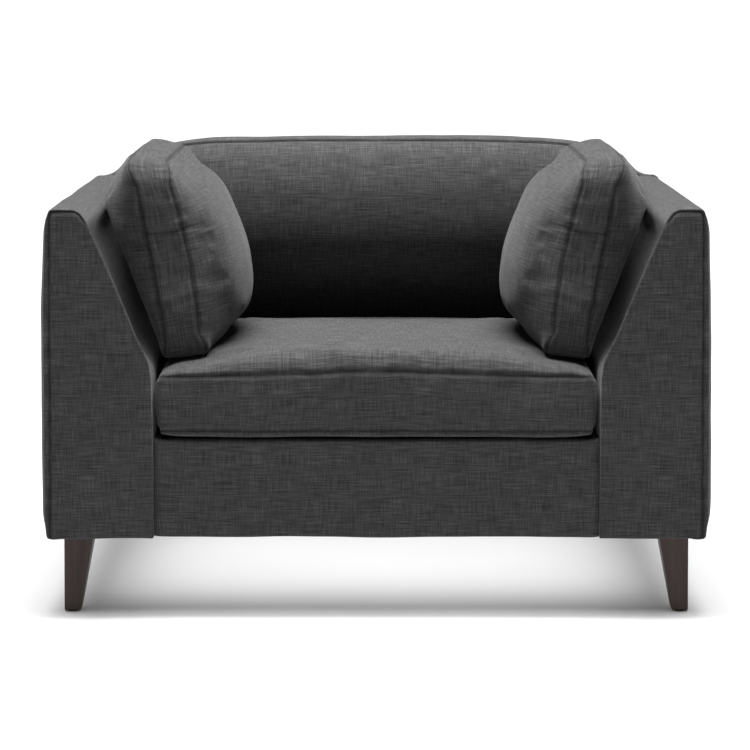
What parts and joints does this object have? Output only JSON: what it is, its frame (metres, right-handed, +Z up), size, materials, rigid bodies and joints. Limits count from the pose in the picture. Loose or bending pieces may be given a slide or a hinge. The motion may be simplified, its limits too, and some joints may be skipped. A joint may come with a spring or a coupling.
{
  "type": "upholstered armchair",
  "caption": "Wide upholstered armchair on short tapered legs, with wedge-section arms, a tight rolled back, a loose box seat cushion and loose side pillows.",
  "frame": {"origin": "on the floor, under the middle of the chair's outline", "axes": "+X to the right as seen from the front, +Y from the front to the back, +Z up"},
  "size_m": [1.224, 0.84, 0.8501],
  "materials": {
    "charcoal_fabric": "heathered flat weave",
    "dark_wood": "satin dark brown stain",
    "frame_timber": "sawn softwood",
    "panel_board": "plywood and board",
    "foam": "open-cell foam and fibre",
    "deck_felt": "felted pad under black cloth",
    "webbing": "woven elastic",
    "dust_cloth": "non-woven black cloth",
    "spring_steel": "drawn wire",
    "zinc_steel": "zinc plated",
    "glide_plastic": "black nylon",
    "zip_tape": "woven tape with nylon coil",
    "zip_metal": "black nickel"
  },
  "bodies": {
    "frame": {"front_seat_rail": "frame_timber", "rear_seat_rail": "frame_timber", "left_seat_rail": "frame_timber", "right_seat_rail": "frame_timber", "seat_stretcher": "frame_timber", "left_base_rail": "frame_timber", "right_base_rail": "frame_timber", "rear_leg_blocks": "frame_timber", "left_arm_front_board": "panel_board", "right_arm_front_board": "panel_board", "left_arm_rear_board": "panel_board", "right_arm_rear_board": "panel_board", "left_arm_top_rail": "frame_timber", "right_arm_top_rail": "frame_timber", "left_arm_outer_panel": "panel_board", "right_arm_outer_panel": "panel_board", "left_arm_inner_panel": "panel_board", "right_arm_inner_panel": "panel_board", "left_back_board": "panel_board", "right_back_board": "panel_board", "back_top_rail": "frame_timber", "back_lower_rail": "frame_timber", "back_webbing": "webbing", "seat_springs": "spring_steel", "spring_clips": "zinc_steel", "deck_pad": "deck_felt", "left_arm_padding": "foam", "right_arm_padding": "foam", "back_padding": "foam", "border_padding": "foam", "left_arm_cover": "charcoal_fabric", "right_arm_cover": "charcoal_fabric", "back_cover": "charcoal_fabric", "outside_back_cover": "charcoal_fabric", "border_cover": "charcoal_fabric", "dust_cover": "dust_cloth", "front_left_leg": "dark_wood", "front_right_leg": "dark_wood", "rear_left_leg": "dark_wood", "rear_right_leg": "dark_wood", "leg_bolts": "zinc_steel", "leg_tee_nuts": "zinc_steel", "leg_glides": "glide_plastic"},
    "seat_cushion": {"seat_cushion_cover": "charcoal_fabric", "seat_cushion_core": "foam", "seat_zip": "zip_tape"},
    "seat_zip_slider": {"seat_zip_slider": "zip_metal"},
    "seat_zip_pull": {"seat_zip_pull": "zip_metal"},
    "left_pillow": {"left_pillow_cover": "charcoal_fabric", "left_pillow_filling": "foam", "left_pillow_zip": "zip_tape"},
    "left_pillow_zip_slider": {"left_pillow_zip_slider": "zip_metal"},
    "left_pillow_zip_pull": {"left_pillow_zip_pull": "zip_metal"},
    "right_pillow": {"right_pillow_cover": "charcoal_fabric", "right_pillow_filling": "foam", "right_pillow_zip": "zip_tape"},
    "right_pillow_zip_slider": {"right_pillow_zip_slider": "zip_metal"},
    "right_pillow_zip_pull": {"right_pillow_zip_pull": "zip_metal"}
  },
  "joints": [
    {"name": "seat_cushion_lift", "type": "slide", "parent": "frame", "child": "seat_cushion", "axis": [0, -0.5, 0.866], "range_m": [0, 0.35]},
    {"name": "seat_zip_slide", "type": "slide", "parent": "seat_cushion", "child": "seat_zip_slider", "axis": [1, 0, 0], "range_m": [0, 0.648]},
    {"name": "seat_zip_pull_swing", "type": "hinge", "parent": "seat_zip_slider", "child": "seat_zip_pull", "pos_m": [-0.324, 0.2171, 0.397], "axis": [0, 0, -1], "range_deg": [0, 160]},
    {"name": "left_pillow_lift", "type": "slide", "parent": "seat_cushion", "child": "left_pillow", "axis": [0, 0, 1], "range_m": [0, 0.42]},
    {"name": "left_pillow_zip_slide", "type": "slide", "parent": "left_pillow", "child": "left_pillow_zip_slider", "axis": [-0.1736, 0, 0.9848], "range_m": [0, 0.228]},
    {"name": "left_pillow_zip_pull_swing", "type": "hinge", "parent": "left_pillow_zip_slider", "child": "left_pillow_zip_pull", "pos_m": [-0.37163, 0.1421, 0.54181], "axis": [0.9848, 0, 0.1736], "range_deg": [0, 160]},
    {"name": "right_pillow_lift", "type": "slide", "parent": "seat_cushion", "child": "right_pillow", "axis": [0, 0, 1], "range_m": [0, 0.42]},
    {"name": "right_pillow_zip_slide", "type": "slide", "parent": "right_pillow", "child": "right_pillow_zip_slider", "axis": [0.1736, 0, 0.9848], "range_m": [0, 0.228]},
    {"name": "right_pillow_zip_pull_swing", "type": "hinge", "parent": "right_pillow_zip_slider", "child": "right_pillow_zip_pull", "pos_m": [0.37163, 0.1421, 0.54181], "axis": [0.9848, 0, -0.1736], "range_deg": [0, 160]}
  ]
}
